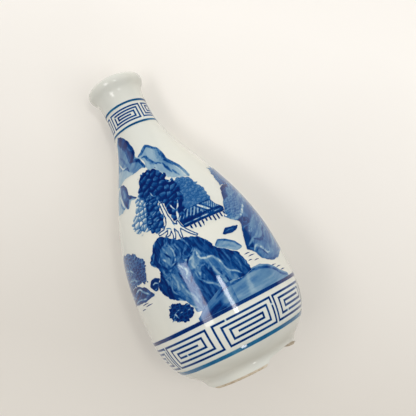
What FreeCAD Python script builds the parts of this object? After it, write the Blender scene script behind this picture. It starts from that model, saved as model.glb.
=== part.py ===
import FreeCAD, Part
import math
import os

# A porcelain sake bottle (tokkuri), upright, +Z up, origin at the middle of the foot's resting plane.
# Azimuth 0 is the printed front, facing -Y, and grows towards +X. Lengths are millimetres.

HEIGHT = 168.0
LIP_R = 15.5
LIP_Z = 164.8
RIM_TOP_R = 13.7
NECK_R = 12.0
NECK_Z = 149.0
BELLY_R = 40.3
BELLY_Z = 38.0
WALL = 3.0
NECK_WALL = 2.8
THROAT = (NECK_Z + 5, NECK_Z - 7)
GLAZE = 0.3
PRINT = 0.15

FOOT_R = 24.6
FOOT_INNER_R = 21.2
FOOT_EDGE = 0.5
BARE_FOOT_R = FOOT_R - 0.2
GLAZE_STOP_Z = 1.2
RECESS_DEPTH = 4.4
RECESS_R = 19.4
RECESS_DRAFT = 0.5
RECESS_CORNER = 1.2
RECESS_TOP = RECESS_DEPTH + 0.4
RECESS_GLAZE_R = RECESS_R - 0.2
FLOOR_Z = 9.4

# Foot ring chips, each a broken edge in the plane that faces its azimuth, as (across, height). A break
# slopes: its heights are scaled by the two slopes at its inner and its outer end.
CHIPS = {
    52.0: [(-15.4, -1.0), (-14.6, 0.9), (-13.4, 2.7), (-11.2, 3.5), (-7.4, 3.8), (-2.6, 4.1),
           (2.6, 3.9), (7.8, 3.1), (12.8, 2.0), (16.4, 0.7), (17.6, -1.0)],
    -84.0: [(-13.0, -1.0), (-11.8, 0.5), (-8.0, 1.6), (-3.5, 2.3), (2.5, 2.6), (8.0, 1.9),
            (11.6, 0.7), (12.8, -1.0)],
}
CHIP_REACH = (12.0, 36.0)
CHIP_SLOPES = (0.72, 1.15)

# Frets: a square spiral drawn with one line, turned half a turn about the middle of its linking bar.
FRET_BARS = (43.5, 39.0, 34.5, 14.5, 10.0, 5.3)
NECK_FRET_BARS = (85.0, 74.0, 64.0, 29.0, 19.5, 10.0)
FRET_ROWS = (0.0, 0.2, 0.4, 0.6, 0.8, 1.0)
FOOT_FRET = {"low": 17.0, "high": 28.6, "line": 0.85, "pairs": 4, "middle": -12.6, "flip": False}
NECK_FRET = {"low": 141.5, "high": 149.2, "line": 0.72, "pairs": 2, "middle": 37.0, "flip": True}

# Banding lines, as node: (middle height, width).
LINES = {
    "neck_line_upper": (151.8, 0.9),
    "neck_line_lower": (138.9, 0.9),
    "foot_line_upper": (32.3, 1.4),
    "foot_line_lower": (13.8, 1.2),
}

# Glazed outside, from the lower edge of the glaze up to the throat, as (radius, height).
OUTSIDE = [
    (FOOT_R + 0.3, GLAZE_STOP_Z), (25.5, 3.4), (26.9, 5.6), (29.3, 7.7), (32.1, 10.4), (35.4, 14.6),
    (38.3, 20.5), (40.0, 28.5), (BELLY_R, BELLY_Z), (39.35, 60.0), (35.4, 80.0), (28.4, 100.0),
    (19.25, 120.0), (15.1, 130.0), (12.7, 139.5), (NECK_R, NECK_Z), (12.35, 157.4), (13.5, 161.4),
    (14.9, 163.2), (LIP_R, LIP_Z), (15.1, 167.1), (RIM_TOP_R, HEIGHT), (12.2, 167.0), (10.9, 163.6),
]
HIP = OUTSIDE[5:14]

# Glazed floor, from the hip to the axis.
FLOOR = [(27.5, 11.2), (19.0, FLOOR_Z), (9.5, FLOOR_Z - 0.25), (0.0, FLOOR_Z - 0.3)]

# Landscape print, each an outline of (azimuth, height) that closes on itself.
PRINTS = {
    "far_peak": [
        (-76, 113), (-70, 122), (-63, 134), (-52, 136.8), (-42, 136), (-34, 134), (-26, 131.5),
        (-19, 124.5), (-22, 120.8), (-15, 118.6), (-9, 111.8), (-14, 114), (-24, 112.8), (-45, 113.6),
        (-60, 112),
    ],
    "near_ridge": [
        (-80, 106), (-70, 109.5), (-57, 111.5), (-50, 110.5), (-44, 108), (-42, 104), (-37, 102.2),
        (-30, 100), (-39, 100.8), (-43.5, 97.4), (-48, 99.4), (-56, 98), (-70, 99),
    ],
    "mountain": [
        (-14, 119.8), (-8, 121), (-3, 123), (3, 124), (8, 122.5), (12, 121), (16, 120), (18, 116.5),
        (18, 112), (21, 109.5), (25, 106.3), (27.5, 102), (28, 98.5), (12, 101.2), (8.5, 104.5),
        (1.5, 111), (-6, 112), (-7, 117),
    ],
    "tree_crown": [
        (-42, 88), (-36, 92), (-32, 98), (-25.5, 101), (-24.5, 106.5), (-18, 109.5), (-9, 110.3),
        (-1, 109.3), (7, 104.5), (5.5, 101.5), (11, 99.3), (20, 98.6), (27, 97), (29, 92), (31.5, 87),
        (30.5, 83), (8, 83), (-2, 79.5), (-4.6, 81), (-6.2, 85), (-6.7, 91.6), (-10.9, 91.6),
        (-11.1, 86), (-11.4, 82), (-13, 79.5), (-22, 78), (-25, 81.6), (-31, 81), (-38, 83.5),
    ],
    "tree_trunk": [
        (-10.1, 91), (-10.2, 86.5), (-9.9, 82.4), (-11.4, 79.8), (-14.5, 78.2), (-19.5, 77.6),
        (-19.3, 76.3), (-14, 76.6), (-11.8, 77), (-12.8, 75.6), (-15, 75), (-14.4, 74.1),
        (-11.4, 74.2), (-9.5, 75.8), (-9.4, 73.6), (-10.2, 72.2), (-8.8, 71.4), (-7.4, 73.4),
        (-6.8, 76.2), (-5.4, 74.2), (-5.2, 70.8), (-3.6, 70.5), (-3.2, 73.4), (-2.4, 75),
        (-0.8, 73.2), (2, 70.8), (5.6, 68.5), (6.8, 69), (3.8, 71.4), (1.2, 73.8), (-0.8, 76.2),
        (-1.8, 79.1), (-3.2, 79.1), (-3.6, 77.8), (-5, 78.6), (-6, 81), (-6.9, 84), (-7.3, 88),
        (-7.6, 91),
    ],
    "pavilion_roof": [
        (-1, 79.3), (8, 82.3), (29, 82.3), (31, 79), (35.5, 76.4), (34, 74.4), (1, 74.4),
    ],
    "rock": [
        (-34, 67), (-29, 71), (-26, 74.5), (-20, 76), (-15, 74), (-8, 70.6), (-1, 69.6), (6, 67.6),
        (10, 64.3), (13, 59.5), (19, 56.8), (25, 53.6), (27, 50), (28.5, 43.8), (20, 42.4), (9, 43.6),
        (4, 41.4), (-2, 39.6), (-12, 36.5), (-16, 37.5), (-17, 40.5), (-20, 44), (-25, 46), (-30, 48.5),
        (-34, 53), (-34.5, 56), (-30, 58.5), (-28, 62), (-31, 64.6),
    ],
    "rock_foot": [(-16, 33.4), (-10, 36.4), (-2, 39), (5, 41.2), (9.3, 42), (9.3, 33.4)],
    "shrub": [
        (-36, 41), (-33, 44.5), (-28, 45), (-24, 43), (-20.5, 42.5), (-18, 39.4), (-21, 36.3),
        (-26, 36), (-32, 37.5), (-35, 38.5),
    ],
    "hill": [(13.5, 60.3), (17, 62.5), (22, 61), (27, 58.6), (30.5, 55.2), (26, 54.6), (20, 57.2)],
    "boat": [(22, 63.8), (27, 66), (32, 65.4), (37, 65), (33, 63.4), (28, 63.2)],
    "cliff": [
        (31, 71), (35.5, 75), (40, 79), (43.5, 82), (47, 85.8), (53, 87.2), (62, 87.6), (76, 90),
        (92, 91), (106, 86), (115, 74), (113, 60), (102, 50), (86, 47.5), (70, 46), (60, 43.8),
        (50, 43.4), (41.5, 46), (39, 50), (33.5, 53), (36, 58), (38.5, 62), (42, 66), (36, 69),
    ],
    "cliff_pines": [
        (51, 88), (53, 93), (56, 96.5), (59, 100), (63, 98.5), (67, 100.8), (73, 98.5), (82, 100.5),
        (88, 97), (92, 92), (76, 90.9), (62, 88.5),
    ],
    "shore": [
        (10, 41.4), (18, 42), (27, 43.2), (36, 42.6), (43, 41), (48, 38.6), (52, 36), (60, 33.4),
        (10, 33.4),
    ],
    "grove": [
        (-98, 66), (-88, 73), (-78, 74), (-70, 78), (-60, 77.4), (-50, 75.4), (-44, 73), (-39.5, 70),
        (-41, 65.5), (-43.5, 60.6), (-55, 61.5), (-66, 61.4), (-84, 60.5),
    ],
    "grove_rocks": [
        (-100, 55), (-88, 59), (-74, 59.6), (-64, 60.6), (-55, 60.2), (-47, 58), (-43.5, 55.2),
        (-40.5, 53.4), (-54, 52.6), (-76, 53.4),
    ],
    "hut": [(-42, 57.4), (-39, 59.8), (-35, 60), (-31, 58.6), (-34, 57.2), (-36, 54.4), (-38.6, 54.4)],
    "back_range": [
        (122, 97), (131, 103), (139, 109), (147, 105), (156, 112.5), (165, 118), (173, 111.5),
        (183, 106), (194, 109.5), (203, 103), (216, 97.5), (190, 94.5), (160, 93.4), (137, 94.6),
    ],
    "back_island": [
        (146, 50), (154, 56), (163, 61.5), (174, 63), (184, 59), (196, 55.5), (212, 51), (196, 48.4),
        (168, 47.6),
    ],
    "back_pine": [
        (155, 74), (159, 79.5), (166, 82), (172, 86), (180, 85), (187, 80.5), (195, 77.6), (193, 73.4),
        (184, 71.6), (176, 66), (171.5, 66), (171, 72), (162, 71.6),
    ],
    "back_shore": [
        (128, 33.4), (138, 37.5), (152, 40.6), (168, 39.6), (186, 41.5), (204, 38.5), (222, 33.4),
    ],
}

# Pavilion stilts under the veranda.
STILTS = {"from": 5.0, "step": 3.1, "count": 10, "low": 71.3, "high": 74.2, "width": 0.7}

# Water, as (azimuth from, azimuth to, height) lines.
WATER_LINE = 0.5
WATER = [
    (29, 34, 51), (31, 37, 49.4), (29.5, 33, 47.6), (34, 38.5, 46.6), (44, 52, 40.9), (50, 57, 39.3),
    (53, 61, 37.2), (-60, -50, 51.4), (-56, -46, 50.2), (-64, -57, 49.4), (120, 132, 60),
    (124, 136, 57.4), (216, 228, 54), (220, 236, 51.4), (238, 252, 66), (244, 256, 63),
]


def in_plane(point):
    return FreeCAD.Vector(0, -point[0], point[1])


def spline(points, **options):
    curve = Part.BSplineCurve()
    curve.interpolate(points, **options)
    return curve


def step_in(curve, parameters, depth):
    """The curve's points at the parameters, moved by depth into the wall."""
    moved = []
    for parameter in parameters:
        along = curve.tangent(parameter)[0]
        moved.append(curve.value(parameter) + FreeCAD.Vector(0, along.z, -along.y) * depth)
    return moved


def inner_points():
    """The glazed inside: the outside's shoulder, belly and hip less the wall, then the floor."""
    guide = spline([in_plane(p) for p in OUTSIDE])
    stations = [guide.parameter(in_plane(p)) for p in reversed(HIP)]
    throat = [in_plane((NECK_R - NECK_WALL, z)) for z in THROAT]
    return throat + step_in(guide, stations, WALL) + [in_plane(p) for p in FLOOR]


class Skin:
    """A surface of revolution that lies a given depth under the glazed surface."""

    def __init__(self, glazed, depth):
        self.stations = [glazed.parameter(p) for p in glazed_points]
        moved = step_in(glazed, self.stations, depth)
        moved[-1].y = 0
        self.curve = spline(moved, Parameters=self.stations)
        self.surface = Part.SurfaceOfRevolution(
            self.curve, FreeCAD.Vector(0, 0, 0), FreeCAD.Vector(0, 0, 1))

    def parameter(self, height):
        """The curve parameter of a height on the outside."""
        low, high = self.curve.FirstParameter, lip_parameter
        while high - low > 1e-9:
            middle = (low + high) / 2
            if self.curve.value(middle).z < height:
                low = middle
            else:
                high = middle
        return low

    def edge(self, start, end):
        """The edge between two (azimuth, height) points of the surface."""
        ends = [FreeCAD.Base.Vector2d(math.radians(a), self.parameter(z)) for a, z in (start, end)]
        return Part.Geom2d.Line2dSegment(*ends).toShape(self.surface)

    def band(self, low, high):
        return self.curve.toShape(self.parameter(low), self.parameter(high))

    def stretches(self):
        """The whole curve, cut at its stations."""
        return [self.curve.toShape(a, b) for a, b in zip(self.stations, self.stations[1:])]


def revolved(wire):
    face = Part.Face(wire)
    return face.revolve(FreeCAD.Vector(0, 0, 0), FreeCAD.Vector(0, 0, 1), 360)


def line(a, b):
    return Part.makeLine(a, b)


def patch(outline):
    """A film of print between the glazed surface and the surface of the print."""
    faces = []
    rims = []
    for skin in (glaze_skin, print_skin):
        rim = [skin.edge(outline[i - 1], outline[i]) for i in range(len(outline))]
        faces.append(Part.Face(skin.surface, Part.Wire(rim)))
        rims.append(rim)
    faces += [Part.makeRuledSurface(low, high) for low, high in zip(*rims)]
    shell = Part.makeShell(faces)
    shell.sewShape()
    film = Part.makeSolid(shell.Shells[0] if shell.ShapeType != "Shell" else shell)
    if film.Volume < 0:
        film.reverse()
    return film


def stroke(path, width):
    """The outline of a line of the stated width along (azimuth, height) points, with mitred corners."""
    middle = sum(z for _, z in path) / len(path)
    scale = math.radians(1) * radius_at(middle)
    flat = [(a * scale, z) for a, z in path]
    sides = []
    for (x0, z0), (x1, z1) in zip(flat, flat[1:]):
        length = math.hypot(x1 - x0, z1 - z0)
        sides.append(((z0 - z1) / length, (x1 - x0) / length))
    left, right = [], []
    for i, (x, z) in enumerate(flat):
        before, after = sides[max(i - 1, 0)], sides[min(i, len(sides) - 1)]
        reach = width / 2 / (1 + before[0] * after[0] + before[1] * after[1])
        dx, dz = (before[0] + after[0]) * reach, (before[1] + after[1]) * reach
        left.append(((x + dx) / scale, z + dz))
        right.append(((x - dx) / scale, z - dz))
    return left + right[::-1]


def radius_at(height):
    return -glaze_skin.curve.value(glaze_skin.parameter(height)).y


def fret_path(fret, bars):
    """One fret line: from the middle of the first spiral out, over the link, into the second."""
    outer, second, third, start, inner, near = bars
    rows = [fret["low"] + row * (fret["high"] - fret["low"]) for row in FRET_ROWS]
    half = [(-start, rows[3]), (-third, rows[3]), (-third, rows[2]), (-inner, rows[2]),
            (-inner, rows[4]), (-second, rows[4]), (-second, rows[1]), (-near, rows[1]),
            (-near, rows[5]), (-outer, rows[5]), (-outer, rows[0]), (0.0, rows[0])]
    mirror = fret["low"] + fret["high"]
    path = half + [(-a, mirror - z) for a, z in reversed(half)]
    return [(a, mirror - z) for a, z in path] if fret["flip"] else path


def fret(spec, bars):
    pitch = 360 / spec["pairs"]
    outline = stroke(fret_path(spec, bars), spec["line"])
    turned = [[(a + spec["middle"] + i * pitch, z) for a, z in outline] for i in range(spec["pairs"])]
    return Part.makeCompound([patch(o) for o in turned])


def banding_line(middle, width):
    low, high = middle - width / 2, middle + width / 2
    inner, outer = glaze_skin.band(low, high), print_skin.band(low, high)
    caps = [line(inner.firstVertex(True).Point, outer.firstVertex(True).Point),
            line(inner.lastVertex(True).Point, outer.lastVertex(True).Point)]
    return revolved(Part.Wire(Part.__sortEdges__([inner, outer] + caps)))


def porcelain_body():
    wall = body_skin.curve
    foot = [wall.StartPoint, in_plane((BARE_FOOT_R, FOOT_EDGE)), in_plane((BARE_FOOT_R - FOOT_EDGE, 0)),
            in_plane((FOOT_INNER_R + FOOT_EDGE, 0)), in_plane((FOOT_INNER_R, FOOT_EDGE)),
            in_plane((FOOT_INNER_R - RECESS_DRAFT, RECESS_DEPTH - RECESS_CORNER)),
            in_plane((RECESS_R, RECESS_DEPTH)), in_plane((0, RECESS_TOP)), wall.EndPoint]
    edges = body_skin.stretches() + [line(a, b) for a, b in zip(foot, foot[1:])]
    return revolved(Part.Wire(Part.__sortEdges__(edges))).cut(chips())


def glaze_coat():
    outer, inner = glaze_skin.curve, body_skin.curve
    ends = [line(outer.StartPoint, inner.StartPoint), line(outer.EndPoint, inner.EndPoint)]
    edges = glaze_skin.stretches() + body_skin.stretches() + ends
    return revolved(Part.Wire(Part.__sortEdges__(edges))).cut(chips())


def recess_glaze():
    under = [(RECESS_GLAZE_R, RECESS_DEPTH), (0, RECESS_TOP), (0, RECESS_TOP - GLAZE),
             (RECESS_GLAZE_R, RECESS_DEPTH - GLAZE)]
    return revolved(Part.makePolygon([in_plane(p) for p in under + under[:1]]))


def chips():
    """The pieces missing from the foot ring."""
    pieces = []
    for azimuth, broken_edge in CHIPS.items():
        ends = []
        for reach, slope in zip(CHIP_REACH, CHIP_SLOPES):
            rim = [FreeCAD.Vector(x, -reach, z * slope if z > 0 else z) for x, z in broken_edge]
            ends.append(Part.makePolygon(rim + rim[:1]))
        piece = Part.makeLoft(ends, True, True)
        piece.rotate(FreeCAD.Vector(0, 0, 0), FreeCAD.Vector(0, 0, 1), azimuth)
        pieces.append(piece)
    return pieces


def stilts():
    post = STILTS["width"] / radius_at(STILTS["low"])
    half = math.degrees(post) / 2
    posts = []
    for i in range(STILTS["count"]):
        middle = STILTS["from"] + i * STILTS["step"]
        low, high = STILTS["low"], STILTS["high"]
        posts.append(patch([(middle - half, low), (middle + half, low),
                            (middle + half, high), (middle - half, high)]))
    return Part.makeCompound(posts)


glazed_points = [in_plane(p) for p in OUTSIDE] + inner_points()
glazed_curve = spline(glazed_points)
lip_parameter = glazed_curve.parameter(in_plane((RIM_TOP_R, HEIGHT)))
glaze_skin = Skin(glazed_curve, 0.0)
body_skin = Skin(glazed_curve, GLAZE)
print_skin = Skin(glazed_curve, -PRINT)

nodes = {
    "porcelain_body": porcelain_body(),
    "glaze_coat": glaze_coat(),
    "recess_glaze": recess_glaze(),
    "foot_fret": fret(FOOT_FRET, FRET_BARS),
    "neck_fret": fret(NECK_FRET, NECK_FRET_BARS),
    "pavilion_stilts": stilts(),
    "water_lines": Part.makeCompound(
        [patch(stroke([(a, z), (b, z)], WATER_LINE)) for a, b, z in WATER]),
}
for name, (middle, width) in LINES.items():
    nodes[name] = banding_line(middle, width)
for name, outline in PRINTS.items():
    nodes[name] = patch(outline)

os.makedirs("parts", exist_ok=True)
for name, shape in nodes.items():
    shape.exportStep("parts/" + name + ".step")
    print(name, shape.isValid(), len(shape.Solids), round(shape.Volume, 2))
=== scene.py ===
import math
import bpy
import numpy as np
from mathutils import Matrix, Vector
from mathutils.bvhtree import BVHTree

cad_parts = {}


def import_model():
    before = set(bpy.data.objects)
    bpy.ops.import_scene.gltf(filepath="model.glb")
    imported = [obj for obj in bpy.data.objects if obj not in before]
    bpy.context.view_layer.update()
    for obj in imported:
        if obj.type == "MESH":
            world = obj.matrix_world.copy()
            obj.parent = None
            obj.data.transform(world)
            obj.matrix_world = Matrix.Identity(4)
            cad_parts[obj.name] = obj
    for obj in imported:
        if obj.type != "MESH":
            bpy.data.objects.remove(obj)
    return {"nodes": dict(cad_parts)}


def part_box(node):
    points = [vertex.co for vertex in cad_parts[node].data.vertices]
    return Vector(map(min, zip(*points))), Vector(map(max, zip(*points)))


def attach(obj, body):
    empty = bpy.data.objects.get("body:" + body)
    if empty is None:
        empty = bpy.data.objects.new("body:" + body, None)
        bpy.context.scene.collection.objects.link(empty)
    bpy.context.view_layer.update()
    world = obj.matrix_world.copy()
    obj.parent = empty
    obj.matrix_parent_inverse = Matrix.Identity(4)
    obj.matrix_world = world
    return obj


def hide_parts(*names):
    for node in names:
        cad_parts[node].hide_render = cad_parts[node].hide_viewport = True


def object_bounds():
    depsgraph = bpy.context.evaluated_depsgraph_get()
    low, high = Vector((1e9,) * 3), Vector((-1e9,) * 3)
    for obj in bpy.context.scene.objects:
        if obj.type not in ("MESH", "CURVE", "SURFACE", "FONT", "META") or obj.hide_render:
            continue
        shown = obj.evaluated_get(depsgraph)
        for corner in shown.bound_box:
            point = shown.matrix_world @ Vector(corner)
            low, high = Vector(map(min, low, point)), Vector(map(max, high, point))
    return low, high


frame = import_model()
CAD_LOW, CAD_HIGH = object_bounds()

# Working units in this script: degrees of azimuth (0 faces -Y, towards +X) and millimetres.
MM = 0.001
HEIGHT = CAD_HIGH.z / MM
BELLY_R = CAD_HIGH.x / MM

# The wall's mesh: its columns, its steps along the section outside and inside, and how far each side of the
# lip's top the steps are halved.
TURN_STEPS = 256
OUTER_STEP = 0.8
INNER_STEP = 2.0
LIP_REACH = 12

# Distances off the glaze: a print's, what each layer adds, and a banding line's, which covers the prints
# that reach it. PAINT_STEP is the side of a painted cell.
PRINT_LIFT = 0.03
LAYER_LIFT = 0.003
LINE_LIFT = 0.13
PAINT_STEP = 0.25


# ---------------------------------------------------------------- the wall's section, from the CAD glaze

def ease(start, end, value):
    """0 before the start, 1 past the end, and smooth between them."""
    t = np.clip((value - start) / (end - start), 0, 1)
    return t * t * (3 - 2 * t)


def hermite(t, start, end, start_slope, end_slope, span=1):
    """A smooth curve between two points with the stated slopes at its ends, for t from 0 to 1."""
    return ((2 * t**3 - 3 * t**2 + 1) * start + (t**3 - 2 * t**2 + t) * span * start_slope
            + (3 * t**2 - 2 * t**3) * end + (t**3 - t**2) * span * end_slope)


def cad_mesh(name):
    """A CAD object's mesh, and its points in mm."""
    mesh = frame["nodes"][name].data
    return mesh, np.array([v.co for v in mesh.vertices]) / MM


def seam_path():
    """The CAD glaze's section at azimuth 0, as (radius, height): foot, over the lip, to the floor."""
    mesh, points = cad_mesh("glaze_coat")
    near = {i for i in range(len(points)) if abs(points[i, 0]) < 1e-3 and points[i, 1] <= 1e-3}
    key = {i: (round(-points[i, 1], 3), round(points[i, 2], 3)) for i in near}
    links = {}
    for edge in mesh.edges:
        a, b = edge.vertices
        if a in near and b in near and key[a] != key[b]:
            links.setdefault(key[a], set()).add(key[b])
            links.setdefault(key[b], set()).add(key[a])
    here = max(links, key=lambda p: p[0] - 20 * p[1])
    path, seen = [here], {here}
    while here[0] > 0.02:
        ahead = [p for p in links[here] if p not in seen]
        here = max(ahead, key=lambda p: p[0] if len(path) < 2 else -abs(p[0] - here[0]))
        path.append(here)
        seen.add(here)
    return np.array(path)


def smooth_path(points, step):
    """A curve through the points, read at even steps of its length."""
    span = np.r_[0, np.cumsum(np.hypot(*np.diff(points, axis=0).T))]
    slope = np.gradient(points, span, axis=0)
    at = np.arange(0, span[-1], step)
    i = np.clip(np.searchsorted(span, at, side="right") - 1, 0, len(span) - 2)
    h = (span[i + 1] - span[i])[:, None]
    return hermite((at - span[i])[:, None] / h, points[i], points[i + 1], slope[i], slope[i + 1], h)


path = smooth_path(seam_path(), 0.2)
along = np.r_[0, np.cumsum(np.hypot(*np.diff(path, axis=0).T))]
run = np.gradient(path, along, axis=0)
run /= np.hypot(run[:, 0], run[:, 1])[:, None]
LIP_ALONG = along[path[:, 1].argmax()]
outside = along <= LIP_ALONG


def station(height):
    """The distance along the outside of the wall's section at a height."""
    return np.interp(height, path[outside, 1], along[outside])


def radius(height):
    return np.interp(height, path[outside, 1], path[outside, 0])


def ripple(azimuth, height):
    """How far the fired wall stands off its true round, in mm."""
    turn = np.radians(azimuth)
    return (0.05 * np.sin(2 * turn + 1.1 + height / 26) + 0.03 * np.sin(5 * turn - height / 13)
            + 0.028 * np.sin(height / 3.3 + 1.5 * np.sin(turn)) + 0.02 * np.sin(9 * turn + height / 5))


def on_wall(azimuth, distance, lift=0.0):
    """World positions for azimuths and distances along the section, lifted off the glaze."""
    r, z, tr, tz = (np.interp(distance, along, line[:, k]) for line in (path, run) for k in (0, 1))
    fade = np.clip(r / 8, 0, 1) * (1 - ease(HEIGHT - 6, HEIGHT - 1.5, z))
    off = lift + ripple(azimuth, z) * fade
    r, z = r + tz * off, z - tr * off
    turn = np.radians(azimuth)
    return np.stack([r * np.sin(turn), -r * np.cos(turn), z], -1) * MM


# ---------------------------------------------------------------- objects and meshes

def new_object(name, data):
    thing = bpy.data.objects.new(name, data)
    bpy.context.scene.collection.objects.link(thing)
    return thing


def grid_faces(rows, columns, closed):
    """Quads of a grid whose columns run first; a closed grid joins its last row to its first."""
    i = np.arange(rows if closed else rows - 1)[:, None]
    j = np.arange(columns - 1)[None, :]
    a = i * columns + j
    b = ((i + 1) % rows) * columns + j
    return np.stack([a, b, b + 1, a + 1], -1).reshape(-1, 4)


def make_piece(name, points, faces, material, node, ink=None):
    """A piece of the visual model, which rides on the body and stands in for a CAD node."""
    mesh = bpy.data.meshes.new(name)
    mesh.from_pydata(points.reshape(-1, 3).tolist(), [], faces.tolist())
    mesh.polygons.foreach_set("use_smooth", [True] * len(mesh.polygons))
    if ink is not None:
        layer = mesh.attributes.new("ink", "FLOAT", "POINT")
        layer.data.foreach_set("value", np.asarray(ink, np.float32).ravel())
    mesh.materials.append(material)
    mesh.update()
    piece = new_object(name, mesh)
    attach(piece, "root")
    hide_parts(node)


# ---------------------------------------------------------------- materials

class Nodes:
    """A short way to write the nodes of a material or a world."""

    def __init__(self, name, family="materials", output="OutputMaterial"):
        self.owner = getattr(bpy.data, family).new(name)
        self.owner.use_nodes = True
        self.tree = self.owner.node_tree
        self.tree.nodes.clear()
        self.out = self.add(output)

    def add(self, kind, inputs=(), **settings):
        node = self.tree.nodes.new("ShaderNode" + kind)
        for name, value in settings.items():
            setattr(node, name, value)
        for socket, value in dict(inputs).items():
            if isinstance(value, bpy.types.NodeSocket):
                self.tree.links.new(value, node.inputs[socket])
            else:
                node.inputs[socket].default_value = value
        return node

    def place(self):
        return self.add("TexCoord").outputs["Object"]

    def noise(self, scale, detail=3.0, roughness=0.5):
        return self.add("TexNoise", {"Vector": self.place(), "Scale": scale, "Detail": detail,
                                     "Roughness": roughness}).outputs["Fac"]

    def ramp(self, value, stops):
        node = self.add("ValToRGB", {"Fac": value})
        marks = node.color_ramp.elements
        while len(marks) < len(stops):
            marks.new(0.5)
        for mark, (at, colour) in zip(marks, stops):
            mark.position = at
            mark.color = (*colour, 1)
        return node.outputs["Color"]

    def mix(self, factor, a, b):
        return self.add("Mix", {0: factor, 6: a, 7: b}, data_type="RGBA").outputs[2]

    def math(self, operation, a, b, clamp=False):
        return self.add("Math", {0: a, 1: b}, operation=operation, use_clamp=clamp).outputs[0]

    def bump(self, height, strength, distance, under=None):
        inputs = {"Height": height, "Strength": strength, "Distance": distance}
        if under:
            inputs["Normal"] = under
        return self.add("Bump", inputs).outputs["Normal"]

    def show(self, node):
        """Give this node's result to the output, and return the finished material or world."""
        self.tree.links.new(node.outputs[0], self.out.inputs[0])
        return self.owner

    def shader(self, **inputs):
        return self.show(self.add("BsdfPrincipled", {k.replace("_", " "): v for k, v in inputs.items()}))


OFF, ON = (0, 0, 0), (1, 1, 1)
WHITE = (0.69, 0.685, 0.615)
WHITE_COOL = (0.645, 0.655, 0.61)
SPECK = (0.42, 0.36, 0.27)
CREASE_SHADE_GREY = (0.50, 0.485, 0.42)

# Painted shade in the crease above the foot, as (height in m, how much of the painted grey shows)
PAINTED_CREASE_SHADE = ((0.0062, 0), (0.0082, 1), (0.0105, 0.5), (0.0160, 0))


def glaze_white(n):
    """Porcelain white: cooler clouds, rare specks, and painted shade in the crease above the foot."""
    white = n.mix(n.ramp(n.noise(38.0, 2.0), [(0.35, OFF), (0.7, ON)]), (*WHITE, 1), (*WHITE_COOL, 1))
    specks = n.add("TexVoronoi", {"Vector": n.place(), "Scale": 210.0}).outputs["Distance"]
    speck = n.math("MULTIPLY", n.ramp(specks, [(0.0, ON), (0.05, OFF)]),
                   n.ramp(n.noise(55.0, 1.0), [(0.66, OFF), (0.68, ON)]))
    specked = n.mix(speck, white, (*SPECK, 1))
    height = n.add("SeparateXYZ", {"Vector": n.place()}).outputs["Z"]
    uneven = n.math("ADD", height, n.math("MULTIPLY", n.noise(45.0, 2.0), 0.002))
    # Painted shade: a grey band in the crease above the foot, slightly uneven in height.
    crease_shade = n.ramp(uneven, [(level, (share,) * 3) for level, share in PAINTED_CREASE_SHADE])
    return n.mix(crease_shade, specked, (*CREASE_SHADE_GREY, 1))


def glazed(n, colour):
    """A colour under clear glaze, with slow waves and a fine orange peel in the surface."""
    slow = n.bump(n.noise(60.0, 2.0), 0.4, 0.0007)
    peel = n.bump(n.noise(620.0, 2.0), 0.05, 0.0001, slow)
    roughness = n.ramp(n.noise(90.0), [(0.3, (0.055,) * 3), (0.7, (0.10,) * 3)])
    return n.shader(Base_Color=colour, Roughness=roughness, Normal=peel, IOR=1.46)


def glaze_material():
    n = Nodes("clear_glaze")
    return glazed(n, glaze_white(n))


# Blues by the depth of ink, from bare glaze to full ink
COBALT = [(0.0, WHITE), (0.16, (0.31, 0.43, 0.51)), (0.34, (0.105, 0.225, 0.37)),
          (0.55, (0.022, 0.108, 0.285)), (0.78, (0.0, 0.040, 0.18)), (1.0, (0.0, 0.011, 0.095))]
TEAL = [(0.0, WHITE), (0.3, (0.18, 0.35, 0.43)), (0.6, (0.018, 0.135, 0.27)), (1.0, (0.0, 0.045, 0.155))]


def cobalt_material(name, blues, cloud=0.36):
    """Underglaze cobalt: the ink's depth picks the blue, with clouds and grain in it."""
    n = Nodes(name)
    ink = n.add("Attribute", attribute_name="ink", attribute_type="GEOMETRY").outputs["Fac"]

    def swing(scale, detail, size):
        return n.math("MULTIPLY", n.math("SUBTRACT", n.noise(scale, detail, 0.6), 0.5), size)

    uneven = n.math("ADD", swing(140.0, 4.0, cloud), swing(1500.0, 2.0, 0.2))
    blue = n.ramp(n.math("MULTIPLY", ink, n.math("ADD", 1.0, uneven), clamp=True), blues)
    shown = n.ramp(ink, [(0.0, OFF), (0.06, ON)])
    return glazed(n, n.mix(shown, glaze_white(n), blue))


def biscuit_material():
    """Bare fired clay: warm, dry and grainy, stained brown where it has rubbed and soaked."""
    n = Nodes("porcelain")
    stain = n.ramp(n.noise(260.0, 5.0, 0.65), [(0.32, (0.66, 0.59, 0.48)), (0.55, (0.50, 0.40, 0.28)),
                                              (0.75, (0.28, 0.19, 0.11))])
    normal = n.bump(n.noise(1400.0, 4.0, 0.7), 0.6, 0.0003)
    return n.shader(Base_Color=stain, Roughness=0.85, Normal=normal, Specular_IOR_Level=0.3)


glaze = glaze_material()
cobalt = cobalt_material("cobalt", COBALT)
teal = cobalt_material("cobalt_teal", TEAL, cloud=1.0)
biscuit = biscuit_material()


# ---------------------------------------------------------------- the glazed wall

def glaze_edge(azimuths):
    """The height of the CAD glaze's lower edge at each azimuth. It rises where the foot is broken."""
    mesh = frame["nodes"]["glaze_coat"].data
    tree = BVHTree.FromPolygons([v.co for v in mesh.vertices], [p.vertices for p in mesh.polygons])
    levels = np.arange(1.25, 7.0, 0.1)
    edge = []
    for azimuth in azimuths:
        turn = math.radians(azimuth)
        out = Vector((math.sin(turn), -math.cos(turn), 0))
        for z in levels:
            start = out * 0.06 + Vector((0, 0, z * MM))
            hit = tree.ray_cast(start, -out)[0]
            if hit is not None and hit.xy.length / MM > radius(z) - 0.25:
                break
        edge.append(z)
    return np.array(edge)


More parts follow.
